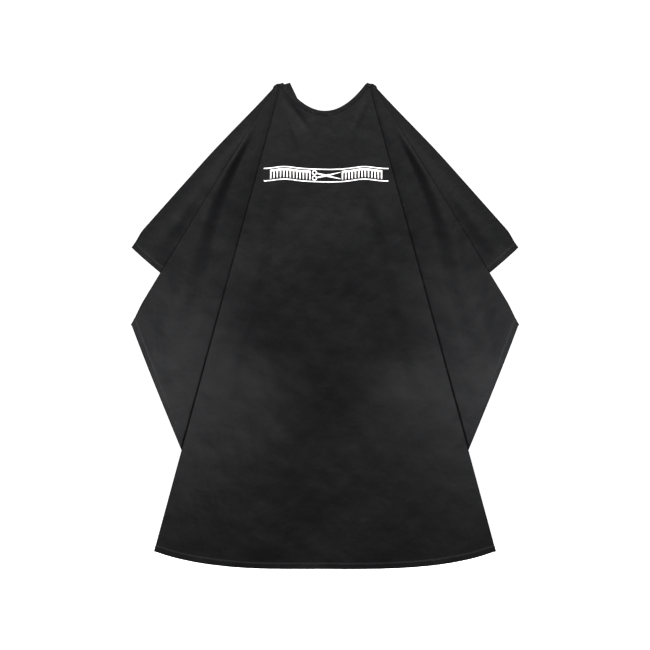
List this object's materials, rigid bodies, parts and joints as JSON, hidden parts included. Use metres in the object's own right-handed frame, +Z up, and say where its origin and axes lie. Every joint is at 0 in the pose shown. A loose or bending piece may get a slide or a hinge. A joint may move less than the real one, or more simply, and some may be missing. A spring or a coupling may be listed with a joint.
{
  "type": "barber cape",
  "caption": "Black barber cape with a bound neckline, cascading side pleats, folded-back closing ends with snaps, hemmed edge and a chest print.",
  "frame": {"origin": "middle of the neck opening, at the height of the two shoulder points, in the plane of the front panel", "axes": "+Z up along the hanging cape, -Y out of its front, +X to the right as the front is seen"},
  "size_m": [0.9982, 0.0585, 1.2504],
  "materials": {
    "cape_cloth": "black plain-woven polyester, soft matt sheen",
    "hem_cloth": "same cloth turned over twice and stitched",
    "binding_tape": "black folded binding tape, stitched",
    "print_ink": "white screen print ink",
    "snap_cap": "black lacquered snap cap",
    "snap_steel": "bright nickel plate"
  },
  "bodies": {
    "cape": {"front_hem": "hem_cloth", "front_panel": "cape_cloth", "left_middle_pleat": "cape_cloth", "left_middle_pleat_hem": "hem_cloth", "left_pleat_return": "cape_cloth", "left_pleat_return_hem": "hem_cloth", "left_wing": "cape_cloth", "left_wing_hem": "hem_cloth", "left_wing_return": "cape_cloth", "left_wing_return_hem": "hem_cloth", "neck_binding": "binding_tape", "printed_comb_left": "print_ink", "printed_comb_right": "print_ink", "printed_rule_lower": "print_ink", "printed_rule_upper": "print_ink", "printed_scissors": "print_ink", "right_middle_pleat": "cape_cloth", "right_middle_pleat_hem": "hem_cloth", "right_pleat_return": "cape_cloth", "right_pleat_return_hem": "hem_cloth", "right_wing": "cape_cloth", "right_wing_hem": "hem_cloth", "right_wing_return": "cape_cloth", "right_wing_return_hem": "hem_cloth"},
    "left_back": {"left_back_flap": "cape_cloth", "left_back_flap_edge_hem": "hem_cloth", "left_back_flap_side_hem": "hem_cloth", "left_neck_band": "binding_tape", "left_shoulder_fold": "cape_cloth", "left_snap_cap": "snap_cap", "left_snap_socket": "snap_steel"},
    "right_back": {"right_back_flap": "cape_cloth", "right_back_flap_edge_hem": "hem_cloth", "right_back_flap_side_hem": "hem_cloth", "right_neck_band": "binding_tape", "right_shoulder_fold": "cape_cloth", "right_snap_1_post": "snap_cap", "right_snap_1_stud": "snap_steel", "right_snap_2_post": "snap_cap", "right_snap_2_stud": "snap_steel", "right_snap_3_post": "snap_cap", "right_snap_3_stud": "snap_steel", "right_snap_4_post": "snap_cap", "right_snap_4_stud": "snap_steel"}
  },
  "joints": [
    {"name": "left_shoulder_fold_hinge", "type": "hinge", "parent": "cape", "child": "left_back", "pos_m": [-0.124, 0.014, 0], "axis": [0.665, -0.0249, 0.7464], "range_deg": [0, 150]},
    {"name": "right_shoulder_fold_hinge", "type": "hinge", "parent": "cape", "child": "right_back", "pos_m": [0.124, 0.014, 0], "axis": [0.665, 0.0249, -0.7464], "range_deg": [0, 150]}
  ]
}
